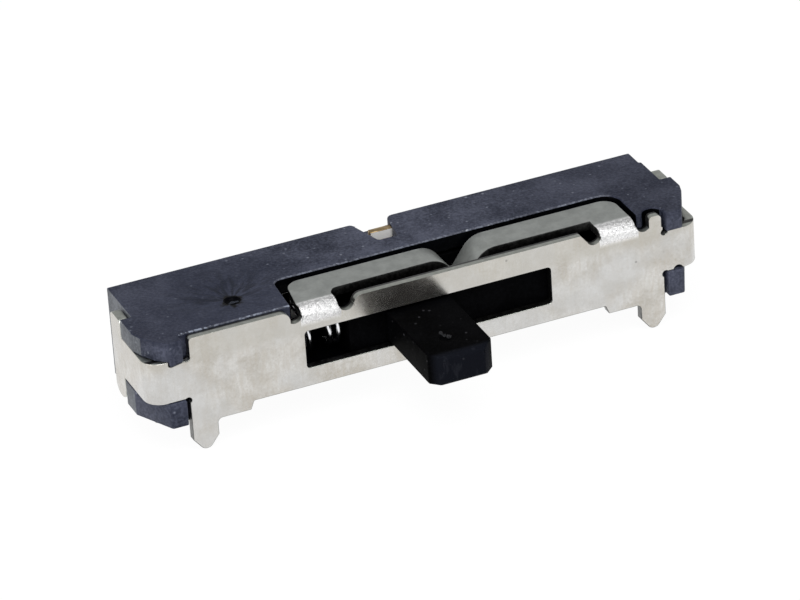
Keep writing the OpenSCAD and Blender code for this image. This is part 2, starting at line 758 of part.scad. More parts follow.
// Plan of one finger: folded back at the right, out to a rounded nose
module clip_plan() {
    turn_r = 0.06;
    turn_out = turn_r + clip_t;
    nose_out = clip_nose_r + clip_t;
    turn_y = clip_y + clip_t + turn_r;
    arm_y = turn_y + turn_r;
    nose_c = [contact_x, clip_nose_y - nose_out];
    // the arm leaves the nose where it is tangent to it
    reach = [clip_x1, arm_y + clip_t] - nose_c;
    angle = atan2(reach[1], reach[0]) + acos(nose_out / norm(reach));
    tangent = [cos(angle), sin(angle)];
    translate([clip_x0, clip_y]) square([clip_w, clip_t]);
    translate([clip_x1, turn_y]) intersection() {
        difference() {
            circle(turn_out);
            circle(turn_r);
        }
        translate([0, -turn_out]) square([turn_out, 2 * turn_out]);
    }
    polygon([[clip_x1, arm_y], [clip_x1, arm_y + clip_t], nose_c + nose_out * tangent,
             nose_c + clip_nose_r * tangent]);
    translate(nose_c) arc_strip(clip_nose_r, nose_out, angle - 1, 195);
}

module moving_contact() {
    color([0.80, 0.62, 0.36]) difference() {
        union() {
            translate([0, 0, clip_z0]) linear_extrude(finger_h) clip_plan();
            translate([0, 0, clip_z1 - finger_h]) linear_extrude(finger_h) clip_plan();
            translate([clip_x0, clip_y, clip_z0]) cube([clip_w, clip_t, clip_z1 - clip_z0]);
        }
        for (x = pip_x) translate([x, clip_y - over, pip_z]) rotate([-90, 0, 0])
            cylinder(d = pip_d + 2 * pip_fit, h = over + clip_t + pip_fit);
    }
}

// ---- terminals ----------------------------------------------------------

// Leg and solder tail: up the rear wall to z, and out at the back on the board
module leg(x, z) {
    bend = tail_r + strip_t;
    sideways(x - tail_w / 2, tail_w) {
        translate([rear_y, bend]) square([strip_t, z - bend]);
        translate([rear_y + bend, bend]) arc_strip(tail_r, bend, 180, 270);
        translate([rear_y + bend, 0]) square([tail_end - rear_y - bend, strip_t]);
    }
}

// One throw: a fixed contact in the lower row on its leg
module throw(x) {
    leg(x, low_row_z + row_h);
    upright(rear_y, strip_t) translate([x - pad_w / 2, low_row_z]) square([pad_w, row_h]);
}

module common() {
    rail_x0 = common_x - tail_w / 2;
    rail_x1 = contact_x + tail_pitch + pad_w / 2;
    leg(common_x, high_row_top);
    upright(rear_y, strip_t) {
        translate([rail_x0, high_row_z]) square([rail_x1 - rail_x0, row_h]);
        translate([-tie_w / 2, high_row_z]) square([tie_w, body_h - tie_drop - high_row_z]);
    }
}

module all_terminals() {
    common();
    for (i = [-1 : 1]) throw(contact_x + i * tail_pitch);
}

module common_terminal() { color([0.83, 0.80, 0.72]) common(); }
module left_terminal() { color([0.83, 0.80, 0.72]) throw(contact_x - tail_pitch); }
module middle_terminal() { color([0.83, 0.80, 0.72]) throw(contact_x); }
module right_terminal() { color([0.83, 0.80, 0.72]) throw(contact_x + tail_pitch); }

housing();
cover();
slider();
return_spring();
moving_contact();
common_terminal();
left_terminal();
middle_terminal();
right_terminal();
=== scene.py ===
import math

import bmesh
import bpy
from mathutils import Euler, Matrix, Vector
from mathutils.bvhtree import BVHTree
from mathutils.noise import fractal


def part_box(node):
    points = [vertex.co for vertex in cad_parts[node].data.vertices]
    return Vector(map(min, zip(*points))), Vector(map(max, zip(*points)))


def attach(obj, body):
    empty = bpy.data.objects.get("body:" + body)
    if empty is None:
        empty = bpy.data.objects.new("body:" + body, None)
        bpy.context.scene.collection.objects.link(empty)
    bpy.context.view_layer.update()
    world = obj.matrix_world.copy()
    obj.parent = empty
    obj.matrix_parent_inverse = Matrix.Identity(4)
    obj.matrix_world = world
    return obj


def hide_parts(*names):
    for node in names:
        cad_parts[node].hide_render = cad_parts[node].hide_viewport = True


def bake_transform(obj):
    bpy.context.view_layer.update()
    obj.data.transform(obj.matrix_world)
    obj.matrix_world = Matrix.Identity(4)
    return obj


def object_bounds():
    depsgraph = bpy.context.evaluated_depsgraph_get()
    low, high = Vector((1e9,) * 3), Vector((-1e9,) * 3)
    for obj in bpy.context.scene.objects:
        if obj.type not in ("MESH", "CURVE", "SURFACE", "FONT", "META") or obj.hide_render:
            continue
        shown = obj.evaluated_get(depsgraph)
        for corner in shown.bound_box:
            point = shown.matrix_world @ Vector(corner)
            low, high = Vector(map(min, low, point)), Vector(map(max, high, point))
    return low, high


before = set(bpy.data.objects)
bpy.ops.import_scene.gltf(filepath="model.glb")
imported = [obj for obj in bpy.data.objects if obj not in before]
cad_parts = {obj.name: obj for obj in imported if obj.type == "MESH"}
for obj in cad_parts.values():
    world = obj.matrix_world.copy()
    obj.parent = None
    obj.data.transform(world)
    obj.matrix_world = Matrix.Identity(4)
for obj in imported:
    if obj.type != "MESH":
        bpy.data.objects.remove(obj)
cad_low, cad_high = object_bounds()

MM = 0.001
WELD = 0.002 * MM
OVERSHOOT = 0.015 * MM

# ---- Housing -------------------------------------------------------------
# A black box moulded in glass-filled nylon, open at the front. The mould
# leaves its edges slightly eased and rubbed pale, with painted glints on them,
# and the melt has left flow streaks on the roof round the pit where the gate
# broke off.


def settle(mesh, form):
    """A bevel overshoots at a pointed tip: what it threw off the form goes back onto it."""
    near = BVHTree.FromPolygons([v.co for v in form.vertices], [f.vertices for f in form.polygons])
    low = [min(v.co[axis] for v in form.vertices) for axis in range(3)]
    high = [max(v.co[axis] for v in form.vertices) for axis in range(3)]
    for vertex in mesh.vertices:
        nearest, _, _, distance = near.find_nearest(vertex.co)
        if distance > OVERSHOOT:
            vertex.co = nearest
        vertex.co = [min(max(c, a), b) for c, a, b in zip(vertex.co, low, high)]


def eased_form(node, ease, steps=2, sharp=30, shape=None):
    """The node's form as a mesh whose sharp edges are eased by so many metres.
    shape may change the form first."""
    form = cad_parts[node].data
    loose = bpy.data.meshes.new("loose")
    bm = bmesh.new()
    bm.from_mesh(form)
    bmesh.ops.remove_doubles(bm, verts=bm.verts, dist=WELD)
    bmesh.ops.dissolve_limit(bm, angle_limit=math.radians(0.5), verts=bm.verts, edges=bm.edges)
    if shape:
        shape(bm)
    bm.to_mesh(loose)
    bm.free()
    loose.shade_smooth()
    maker = bpy.data.objects.new("maker", loose)
    bpy.context.collection.objects.link(maker)
    bevel = maker.modifiers.new("ease", "BEVEL")
    bevel.limit_method = "ANGLE"
    bevel.angle_limit = math.radians(sharp)
    bevel.width = ease
    bevel.segments = steps
    bevel.use_clamp_overlap = False
    bevel.miter_outer = "MITER_ARC"
    maker.modifiers.new("flat faces stay flat", "WEIGHTED_NORMAL").weight = 100
    finished = bpy.data.meshes.new_from_object(
        maker.evaluated_get(bpy.context.evaluated_depsgraph_get()))
    bpy.data.objects.remove(maker)
    bpy.data.meshes.remove(loose)
    settle(finished, form)
    finished.materials.clear()
    return finished


def piece(name, mesh, body, slot, *nodes):
    """A finished piece in the scene, riding on its body in place of the nodes."""
    thing = bpy.data.objects.new(name, mesh)
    bpy.context.collection.objects.link(thing)
    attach(thing, body)
    if nodes:
        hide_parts(*nodes)


def add(tree, kind, inputs=None, **settings):
    """One node; each input is a value or another node's output socket."""
    node = tree.nodes.new(kind)
    for key, value in settings.items():
        setattr(node, key, value)
    for key, value in (inputs or {}).items():
        if isinstance(value, bpy.types.NodeSocket):
            tree.links.new(value, node.inputs[key])
        else:
            node.inputs[key].default_value = value
    return node


def maths(tree, operation, first, second=0.0):
    return add(tree, "ShaderNodeMath", {0: first, 1: second}, operation=operation).outputs[0]


def total(tree, *values):
    """All the values added together."""
    result = values[0]
    for value in values[1:]:
        result = maths(tree, "ADD", result, value)
    return result


def product(tree, *values):
    """All the values multiplied together."""
    result = values[0]
    for value in values[1:]:
        result = maths(tree, "MULTIPLY", result, value)
    return result


def own_place(tree):
    """Where a point lies on its piece: the whole place, then its X, Y and Z."""
    where = add(tree, "ShaderNodeTexCoord").outputs["Object"]
    return where, add(tree, "ShaderNodeSeparateXYZ", {0: where}).outputs


def stretched(tree, where, factors):
    """The place with X, Y and Z each multiplied by a factor."""
    return add(tree, "ShaderNodeVectorMath", {0: where, 1: factors},
               operation="MULTIPLY").outputs[0]


def between(tree, value, low, high, to_low=0.0, to_high=1.0):
    """value mapped smoothly from low..high to to_low..to_high."""
    return add(tree, "ShaderNodeMapRange",
               {"Value": value, "From Min": low, "From Max": high, "To Min": to_low,
                "To Max": to_high}, interpolation_type="SMOOTHSTEP").outputs[0]


def noise(tree, where, size, detail=3.0, rough=0.5):
    """Noise whose largest blotches are about size metres across."""
    return add(tree, "ShaderNodeTexNoise",
               {"Vector": where, "Scale": 1 / size, "Detail": detail, "Roughness": rough}
               ).outputs["Fac"]


def mix(tree, share, first, second):
    """Colour between two colours, each four numbers or an output socket."""
    return add(tree, "ShaderNodeMix", {0: share, 6: first, 7: second}, data_type="RGBA").outputs[2]


def node_group(name, inputs, outputs):
    """An empty shader group with named sockets, its input and its output node."""
    group = bpy.data.node_groups.new(name, "ShaderNodeTree")
    for label, value in inputs.items():
        kind = "NodeSocketColor" if isinstance(value, tuple) else "NodeSocketFloat"
        group.interface.new_socket(label, in_out="INPUT", socket_type=kind).default_value = value
    for label, kind in outputs.items():
        group.interface.new_socket(label, in_out="OUTPUT", socket_type=kind)
    return group, group.nodes.new("NodeGroupInput").outputs, group.nodes.new("NodeGroupOutput")


def moulded_surface():
    """Node group: the smoky skin, fine grain and pale specks of a filled moulding."""
    group, given, result = node_group(
        "moulded surface",
        {"Dark": (0, 0, 0, 1), "Pale": (0.1, 0.1, 0.1, 1), "Speck": (0.2, 0.2, 0.2, 1),
         "Specks": 0.5, "Roughness": 0.5},
        {"Color": "NodeSocketColor", "Rough": "NodeSocketFloat", "Height": "NodeSocketFloat"})
    where = add(group, "ShaderNodeTexCoord").outputs["Object"]
    smoke = noise(group, where, 0.7 * MM, 5.0, 0.72)
    grain = noise(group, where, 0.05 * MM, 3.0, 0.65)
    cloud = noise(group, where, 1.6 * MM, 2.0)
    tone = total(group, product(group, between(group, smoke, 0.36, 0.66), 0.4),
                 product(group, between(group, grain, 0.38, 0.66), 0.4),
                 product(group, between(group, cloud, 0.4, 0.6), 0.2))
    skin = mix(group, tone, given["Dark"], given["Pale"])
    cells = add(group, "ShaderNodeTexVoronoi", {"Vector": where, "Scale": 1 / (0.12 * MM)})
    dot = between(group, cells.outputs["Distance"], 0.24, 0.1)
    chosen = between(group, noise(group, where, 0.2 * MM, 2.0), 0.5, 0.62)
    specked = mix(group, product(group, dot, chosen, given["Specks"]), skin, given["Speck"])
    group.links.new(specked, result.inputs["Color"])
    drift = maths(group, "SUBTRACT", smoke, 0.5)
    group.links.new(total(group, given["Roughness"], product(group, drift, -0.3)),
                    result.inputs["Rough"])
    group.links.new(grain, result.inputs["Height"])
    return group


skin_group = moulded_surface()


def surfaced(name, group, values, metal, depth):
    """A material whose tone, gloss and grain come from a surface group.
    Gives the material, its tree and shader, the group's node and the bump."""
    mat = bpy.data.materials.new(name)
    mat.use_nodes = True
    tree = mat.node_tree
    shader = tree.nodes["Principled BSDF"]
    shader.inputs["Metallic"].default_value = metal
    shader.inputs["Roughness"].default_value = values["Roughness"]
    skin = add(tree, "ShaderNodeGroup", node_tree=group)
    for label, value in values.items():
        skin.inputs[label].default_value = (*value, 1) if isinstance(value, tuple) else value
    bump = add(tree, "ShaderNodeBump", {"Height": skin.outputs["Height"], "Strength": 1.0,
                                        "Distance": depth})
    tree.links.new(skin.outputs["Color"], shader.inputs["Base Color"])
    tree.links.new(skin.outputs["Rough"], shader.inputs["Roughness"])
    tree.links.new(bump.outputs["Normal"], shader.inputs["Normal"])
    return mat, tree, shader, skin, bump


def moulded(name, dark, pale, speck, specks, rough, depth):
    """A plastic finish: its material, tree, shader and surface node."""
    values = {"Dark": dark, "Pale": pale, "Speck": speck, "Specks": specks, "Roughness": rough}
    return surfaced(name, skin_group, values, 0.0, depth)[:4]


# the gate's middle and radius in millimetres, and how far its marks reach
GATE, GATE_R = (-2.98, -0.4, 1.55), 0.15
FLOW_REACH, SHADE_REACH = 1.5 * MM, 2.2 * MM
SWIRL = 400.0
roof_skin, tree, shader, skin = moulded(
    "black glass-filled nylon", (0.012, 0.015, 0.028), (0.092, 0.100, 0.142),
    (0.26, 0.28, 0.34), 0.6, 0.46, 0.006 * MM)
shader.inputs["Specular IOR Level"].default_value = 0.15
where, place = own_place(tree)
spot = add(tree, "ShaderNodeVectorMath", {0: where, 1: Vector(GATE) * MM},
           operation="SUBTRACT").outputs[0]
apart = add(tree, "ShaderNodeSeparateXYZ", {0: spot}).outputs
reach = add(tree, "ShaderNodeVectorMath", {0: stretched(tree, spot, (1, 1, 0))},
            operation="LENGTH").outputs["Value"]
near_roof = between(tree, apart["Z"], -0.1 * MM, -0.06 * MM)
# the roof is darker towards its ends and round the gate
ends = between(tree, maths(tree, "ABSOLUTE", place["X"]), 1.4 * MM, 3.2 * MM, 0.0, 0.35)
darker_at_ends = mix(tree, product(tree, ends, near_roof), skin.outputs["Color"],
             (0.008, 0.010, 0.022, 1))
shade = between(tree, reach, SHADE_REACH, 0.2 * MM)
shaded = mix(tree, product(tree, shade, 0.5), darker_at_ends, (0.016, 0.021, 0.044, 1))
# streaks run out from the gate, most of them towards the back, and fade
turn = maths(tree, "ARCTAN2", apart["Y"], apart["X"])
ring = add(tree, "ShaderNodeCombineXYZ", {"X": maths(tree, "COSINE", turn),
                                          "Y": maths(tree, "SINE", turn),
                                          "Z": product(tree, reach, SWIRL)}).outputs[0]
rays = between(tree, noise(tree, ring, 0.16, 4.0, 0.7), 0.40, 0.60)
fade = between(tree, reach, FLOW_REACH, GATE_R * MM)
behind_gate = between(tree, maths(tree, "SINE", turn), -0.3, 0.5, 0.25, 0.85)
streaked = mix(tree, product(tree, rays, fade, behind_gate), shaded, (0.004, 0.006, 0.013, 1))
# the pit is painted near black as painted shade, with a ragged edge
wander = maths(tree, "SUBTRACT", noise(tree, spot, 0.16 * MM, 3.0), 0.5)
ragged = total(tree, reach, product(tree, wander, 0.42 * MM))
pit_shade = between(tree, ragged, 0.21 * MM, 0.13 * MM)
pit_shaded = mix(tree, product(tree, pit_shade, near_roof), streaked, (0.0004, 0.0004, 0.0006, 1))
tree.links.new(pit_shaded, shader.inputs["Base Color"])

# the walls inside the opening, in the pit and behind the finger are painted near black as painted
# shade
shade_wall_skin, tree, shader, skin = moulded(
    "nylon wall painted in shade", (0.0003, 0.0003, 0.0006), (0.002, 0.0023, 0.0035),
    (0.06, 0.06, 0.08), 0.0, 0.4, 0.002 * MM)
shader.inputs["Specular IOR Level"].default_value = 0.04
# the end walls are painted paler as a painted sheen
sheen_end_skin = moulded("nylon end with painted sheen", (0.05, 0.055, 0.066), (0.16, 0.175, 0.20),
                   (0.3, 0.32, 0.36), 0.6, 0.55, 0.008 * MM)[0]
glinting_edge_skin, tree, shader, skin = moulded(
    "rubbed nylon edge with painted glints", (0.010, 0.013, 0.026), (0.12, 0.13, 0.17), (0.6, 0.62, 0.68), 1.0, 0.6,
    0.006 * MM)
# the pale rubbing, partly wear and partly painted glints, comes and goes along the edge, and is
# strongest over the cover
where, place = own_place(tree)
front = between(tree, place["Y"], -0.5 * MM, -0.9 * MM, 0.3, 1.0)
crumbs_and_glints = product(tree, between(tree, noise(tree, where, 0.05 * MM, 2.0), 0.48, 0.56),
                 between(tree, noise(tree, where, 0.5 * MM, 2.0), 0.36, 0.52), front)
tree.links.new(mix(tree, crumbs_and_glints, skin.outputs["Color"], (0.24, 0.27, 0.34, 1)),
               shader.inputs["Base Color"])

housing_mesh = eased_form("housing", 0.022 * MM)
for mat in (roof_skin, shade_wall_skin, sheen_end_skin, glinting_edge_skin):
    housing_mesh.materials.append(mat)
ROOF, SHADED_WALL, SHEEN_END, EDGE_GLINT = range(4)
# in millimetres: the heights just under the roof, and the end walls' place
UNDER_ROOF, ROOF_EDGE, END_WALL = 1.53, 1.52, 4.4
for face in housing_mesh.polygons:
    n, at = face.normal, face.center / MM
    inside = abs(at.x) < 3.95 and -0.97 < at.y < 0.66 and 0.1 < at.z < UNDER_ROOF
    behind_finger = 3.8 < at.x < 4.1 and -1.0 < at.y < -0.85 and at.z < UNDER_ROOF
    in_pit = math.hypot(at.x - GATE[0], at.y - GATE[1]) < GATE_R and 1.4 < at.z < 1.549
    over_leaf = -0.2 < at.y < -0.05 and -2.3 < at.x < 3.8
    over_plate = at.y < -0.9 and -4.0 < at.x < -2.2
    # eased front edges over the leaf and plate take the rubbed edge with painted glints
    if 0.2 < n.z < 0.98 and at.z > ROOF_EDGE and (over_leaf or over_plate):
        face.material_index = EDGE_GLINT
    # recesses take the wall skin painted in shade
    elif inside or behind_finger or in_pit:
        face.material_index = SHADED_WALL
    else:
        # end walls take the skin painted with a sheen
        face.material_index = SHEEN_END if abs(n.x) > 0.9 and abs(at.x) > END_WALL else ROOF
piece("housing_moulding", housing_mesh, "switch_body", "housing", "housing")

LUMPS = 0.45


def torn_stub(name, at, size, shift, skin, body, slot):
    """The ragged stub left standing where a gate broke off; sizes in millimetres."""
    bm = bmesh.new()
    bmesh.ops.create_icosphere(bm, subdivisions=4, radius=1)
    for vertex in bm.verts:
        vertex.co *= 1 + LUMPS * fractal(vertex.co * 1.6 + Vector(shift), 0.9, 2.1, 4)
        vertex.co = (Vector([a * b for a, b in zip(vertex.co, size)]) + Vector(at)) * MM
    mesh = bpy.data.meshes.new(name)
    bm.to_mesh(mesh)
    bm.free()
    mesh.shade_smooth()
    mesh.materials.append(skin)
    piece(name, mesh, body, slot)


torn_skin, tree, shader, skin = moulded(
    "torn nylon", (0.003, 0.003, 0.005), (0.05, 0.055, 0.07), (0.2, 0.2, 0.24), 0.5, 0.6,
    0.004 * MM)
shader.inputs["Specular IOR Level"].default_value = 0.05
torn_stub("roof_gate_stub", (-2.965, -0.41, 1.508), (0.08, 0.022, 0.026), (3, 1, 4), torn_skin,
          "switch_body", "housing")

# ---- Terminals -----------------------------------------------------------
# Four strips stamped from thin silver-plated bronze and held in the rear
# wall as it is moulded. The plating covers their faces and the rolled-over
# side of their edges; the torn side shows the yellow metal.


def struck_metal():
    """Node group: the blotches, fine grain and wandering gloss of plated metal."""
    group, given, result = node_group(
        "struck metal",
        {"Dark": (0.5, 0.5, 0.5, 1), "Light": (0.7, 0.7, 0.7, 1), "Blotch": 0.5 * MM,
         "Grain": 0.03 * MM, "Roughness": 0.3},
        {"Color": "NodeSocketColor", "Rough": "NodeSocketFloat", "Height": "NodeSocketFloat"})
    where = add(group, "ShaderNodeTexCoord").outputs["Object"]
    blotch, grain = (
        add(group, "ShaderNodeTexNoise", {"Vector": where, "Detail": 4.0, "Roughness": 0.6,
                                          "Scale": maths(group, "DIVIDE", 1.0, given[size])}
            ).outputs["Fac"] for size in ("Blotch", "Grain"))
    tone = total(group, product(group, between(group, blotch, 0.34, 0.66), 0.65),
                 product(group, between(group, grain, 0.3, 0.7), 0.35))
    group.links.new(mix(group, tone, given["Dark"], given["Light"]), result.inputs["Color"])
    drift = total(group, blotch, grain, -1.0)
    group.links.new(total(group, given["Roughness"], product(group, drift, 0.16)),
                    result.inputs["Rough"])
    group.links.new(grain, result.inputs["Height"])
    return group


metal_group = struck_metal()


def plated(name, dark, light, blotch, grain, rough, depth):
    """A metal finish: its material, tree and shader, its surface node and its bump."""
    values = {"Dark": dark, "Light": light, "Blotch": blotch, "Grain": grain, "Roughness": rough}
    return surfaced(name, metal_group, values, 1.0, depth)


bronze_edge = plated("torn bronze", (0.32, 0.22, 0.10), (0.66, 0.50, 0.29), 0.12 * MM, 0.03 * MM,
                     0.35, 0.004 * MM)[0]
silver_face, tree, shader, _, _ = plated(
    "silver plating", (0.90, 0.88, 0.84), (0.98, 0.97, 0.95), 0.25 * MM, 0.03 * MM, 0.42,
    0.0006 * MM)
# the plating is matt, so most of what it sends back is scattered
shader.inputs["Metallic"].default_value = 0.05
PLATED, BARE = range(2)


def strip(node, body, slot):
    """A stamped strip: its wide faces plated, its sheared edges bare."""
    mesh = eased_form(node, 0.012 * MM)
    mesh.materials.append(silver_face)
    mesh.materials.append(bronze_edge)
    top = max(face.center.z for face in mesh.polygons)
    for face in mesh.polygons:
        topmost = face.normal.z > 0.3 and face.center.z > top - 0.02 * MM
        face.material_index = BARE if abs(face.normal.x) > 0.8 or topmost else PLATED
    piece(node + "_strip", mesh, body, slot, node)


for node in ("common_terminal", "left_terminal", "middle_terminal", "right_terminal"):
    strip(node, "switch_body", "terminal")

# ---- Slider --------------------------------------------------------------
# A black acetal moulding, darker and smoother than the housing. Its knob
# comes out through the slot, with the stub of its own gate on top.
acetal, tree, shader, skin = moulded(
    "black acetal", (0.0003, 0.0003, 0.0004), (0.0026, 0.0027, 0.0033), (0.10, 0.10, 0.11), 0.9,
    0.5, 0.003 * MM)
shader.inputs["Specular IOR Level"].default_value = 0.012
# the knob's end is painted paler as a painted sheen, with finger smears on it, and dust lies on the
# knob alone
where, place = own_place(tree)
smeared = stretched(tree, where, (1.0, 1.0, 0.3))
smear = between(tree, noise(tree, smeared, 0.09 * MM, 3.0), 0.56, 0.7, 0.0, 0.3)
sheen_on_knob_end = between(tree, place["Y"], -2.66 * MM, -2.78 * MM)
sheen_and_smears = mix(tree, smear, (0.007, 0.008, 0.012, 1), (0.030, 0.032, 0.040, 1))
tree.links.new(mix(tree, product(tree, sheen_on_knob_end, 0.8), skin.outputs["Color"], sheen_and_smears),
               shader.inputs["Base Color"])
dusty = product(tree, between(tree, place["Y"], -1.2 * MM, -1.35 * MM),
                between(tree, place["Z"], 1.048 * MM, 1.04 * MM, 0.3, 1.0))
tree.links.new(dusty, skin.inputs["Specks"])
KNOB_END, KNOB_UPPER = -2.6 * MM, 0.95 * MM


def worn_knob(bm):
    """The upper edges of the knob's end are worn rounder than the rest."""
    end = [edge for edge in bm.edges
           if all(v.co.y < KNOB_END and v.co.z > KNOB_UPPER for v in edge.verts)
           and edge.calc_face_angle(0) > math.radians(30)]
    bmesh.ops.bevel(bm, geom=end, offset=0.025 * MM, segments=3, profile=0.5, affect="EDGES",
                    clamp_overlap=True)


slider_mesh = eased_form("slider", 0.022 * MM, 3, shape=worn_knob)
slider_mesh.materials.append(acetal)
piece("slider_moulding", slider_mesh, "slider_body", "slider", "slider")

torn_acetal, tree, shader, skin = moulded(
    "torn acetal", (0.002, 0.002, 0.003), (0.035, 0.036, 0.04), (0.1, 0.1, 0.1), 0.5, 0.6,
    0.004 * MM)
shader.inputs["Specular IOR Level"].default_value = 0.2
for name, at, size, shift in (
        ("knob_gate_stub", (-0.229, -2.13, 1.04), (0.035, 0.055, 0.025), (7, 2, 5)),
        ("knob_gate_crumb", (-0.165, -2.29, 1.045), (0.035, 0.05, 0.03), (1, 8, 6)),
        ("knob_gate_flake", (-0.20, -2.21, 1.035), (0.03, 0.03, 0.025), (4, 3, 9))):
    torn_stub(name, at, size, shift, torn_acetal, "slider_body", "slider")

# ---- Moving contact ------------------------------------------------------
# A spring strip of the same plated bronze with two fingers, staked on the
# slider's back.
strip("moving_contact", "slider_body", "contact")

# ---- Return spring -------------------------------------------------------
# A coil of bright drawn wire between the housing and the slider, with closed
# turns at both ends.
spring_low, spring_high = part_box("return_spring")
WIRE = 0.08 * MM
COIL = spring_high.z - spring_low.z
TURNS, CLOSED, PER_TURN = 9.5, 1.5, 48
CLOSED_PITCH = 1.15 * WIRE
WIRE_SIDES = 14


def coil_group():
    """Geometry Nodes group: a compression spring wound along X, closed at both ends."""
    tree = bpy.data.node_groups.new("coil spring", "GeometryNodeTree")
    for label in ("Start", "End", "Coil Radius", "Wire Radius", "Closed Pitch", "Turns",
                  "Closed Turns"):
        tree.interface.new_socket(label, in_out="INPUT", socket_type="NodeSocketFloat")
    tree.interface.new_socket("Finish", in_out="INPUT", socket_type="NodeSocketMaterial")
    tree.interface.new_socket("Geometry", in_out="OUTPUT", socket_type="NodeSocketGeometry")
    given = tree.nodes.new("NodeGroupInput").outputs

    # how far along X each point of the wire lies, by the turns wound so far
    wound = maths(tree, "DIVIDE", add(tree, "GeometryNodeInputIndex").outputs[0], PER_TURN)
    closed_both = product(tree, given["Closed Turns"], 2.0)
    open_turns = maths(tree, "SUBTRACT", given["Turns"], closed_both)
    begin = total(tree, given["Start"], given["Wire Radius"])
    finish = maths(tree, "SUBTRACT", given["End"], given["Wire Radius"])
    open_span = maths(tree, "SUBTRACT", maths(tree, "SUBTRACT", finish, begin),
                      product(tree, closed_both, given["Closed Pitch"]))
    open_pitch = maths(tree, "DIVIDE", open_span, open_turns)
    first = maths(tree, "MINIMUM", wound, given["Closed Turns"])
    rest = maths(tree, "SUBTRACT", wound, first)
    middle = maths(tree, "MINIMUM", open_turns, rest)
    last = maths(tree, "SUBTRACT", rest, middle)
    along = total(tree, begin, product(tree, open_pitch, middle),
                  product(tree, given["Closed Pitch"], total(tree, first, last)))

    angle = product(tree, wound, 2 * math.pi)
    across = product(tree, given["Coil Radius"], maths(tree, "SINE", angle))
    upward = product(tree, given["Coil Radius"], maths(tree, "COSINE", angle), -1.0)
    helix = add(tree, "ShaderNodeCombineXYZ", {"X": along, "Y": across, "Z": upward})
    line = add(tree, "GeometryNodeMeshLine", {"Count": 1 + int(TURNS * PER_TURN)})
    bent = add(tree, "GeometryNodeSetPosition", {"Geometry": line.outputs[0],
                                                 "Position": helix.outputs[0]})
    path = add(tree, "GeometryNodeMeshToCurve", {"Mesh": bent.outputs[0]})
    section = add(tree, "GeometryNodeCurvePrimitiveCircle",
                  {"Resolution": WIRE_SIDES, "Radius": given["Wire Radius"]})
    drawn = add(tree, "GeometryNodeCurveToMesh", {"Curve": path.outputs[0],
                                                  "Profile Curve": section.outputs[0],
                                                  "Fill Caps": True})
    smooth = add(tree, "GeometryNodeSetShadeSmooth", {"Geometry": drawn.outputs[0]})
    real = add(tree, "GeometryNodeRealizeInstances", {"Geometry": smooth.outputs[0]})
    painted = add(tree, "GeometryNodeSetMaterial", {"Geometry": real.outputs[0],
                                                    "Material": given["Finish"]})
    tree.links.new(painted.outputs[0], tree.nodes.new("NodeGroupOutput").inputs["Geometry"])
    return tree


wire_steel = plated("bright spring wire", (0.72, 0.73, 0.75), (0.90, 0.91, 0.93), 0.1 * MM,
                    0.02 * MM, 0.18, 0.0008 * MM)[0]
coil_maker = bpy.data.objects.new("coil maker", bpy.data.meshes.new("coil"))
bpy.context.collection.objects.link(coil_maker)
coil_mod = coil_maker.modifiers.new("coil", "NODES")
coil_mod.node_group = coil_group()
sizes = {"Start": spring_low.x, "End": spring_high.x, "Coil Radius": (COIL - WIRE) / 2,
         "Wire Radius": WIRE / 2, "Closed Pitch": CLOSED_PITCH, "Turns": TURNS,
         "Closed Turns": CLOSED, "Finish": wire_steel}
for socket in coil_mod.node_group.interface.items_tree:
    if socket.in_out == "INPUT":
        coil_mod[socket.identifier] = sizes[socket.name]
coil_mesh = bpy.data.meshes.new_from_object(
    coil_maker.evaluated_get(bpy.context.evaluated_depsgraph_get()))
bpy.data.objects.remove(coil_maker)
for vertex in coil_mesh.vertices:
    vertex.co += Vector((0, (spring_low.y + spring_high.y) / 2, (spring_low.z + spring_high.z) / 2))
coil = bpy.data.objects.new("return_coil", coil_mesh)
bpy.context.collection.objects.link(coil)
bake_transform(coil)
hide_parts("return_spring")

# ---- Cover ---------------------------------------------------------------
# One sheet of tin-plated steel, stamped and folded: the front plate with its
# slot and pegs, the leaf with its click nose, and a band round each end. The
# plating has crazed over the two folds, painted near white there as a painted
# highlight, and the leaf and most sheared edges are painted duller as painted
# shade.

# in millimetres: the two folds from side to side, where they begin at the front
# and end at the back, and where the bands bend round the ends
FOLDS = ((-2.12, -1.50), (3.00, 3.62))
FOLD_Z, FOLD_Y = 1.301, -0.94
BEND_X, BEND_Y = 4.42, -0.84
PLATE_TOP, PLATE_FRONT = 1.2, -1.149
CRAZE = 0.038 * MM
plate_mat, tree, shader, skin, bump = plated(
    "tin-plated sheet", (0.48, 0.455, 0.41), (0.69, 0.68, 0.655), 0.35 * MM, 0.04 * MM, 0.22,
    0.0003 * MM)
# a little of the light is scattered by the plating's grain
shader.inputs["Metallic"].default_value = 0.96
where, place = own_place(tree)
# rolling marks run up the plate, and the bath has left cool and warm patches
drawn_out = stretched(tree, where, (5.0, 5.0, 0.9))
marks = between(tree, noise(tree, drawn_out, 0.3 * MM, 4.0, 0.6), 0.42, 0.66, 0.0, 0.4)
patch = between(tree, noise(tree, where, 1.1 * MM, 3.0), 0.42, 0.6, 0.0, 0.45)
marked = mix(tree, marks, skin.outputs["Color"], (0.52, 0.48, 0.42, 1))
cleaned = mix(tree, patch, marked, (0.61, 0.62, 0.63, 1))
# above the slot the plate is warmer in tone
warmer_above_slot = product(tree, between(tree, place["Z"], 1.02 * MM, 1.18 * MM), 0.5)
patched = mix(tree, warmer_above_slot, cleaned, (0.52, 0.50, 0.45, 1))
# a few dark pinpricks
pricks = add(tree, "ShaderNodeTexVoronoi", {"Vector": where, "Scale": 1 / (0.4 * MM)})
prick = product(tree, between(tree, pricks.outputs["Distance"], 0.07, 0.04),
                between(tree, noise(tree, where, 0.5 * MM, 1.0), 0.5, 0.6), 0.5)
pricked = mix(tree, prick, patched, (0.2, 0.2, 0.19, 1))
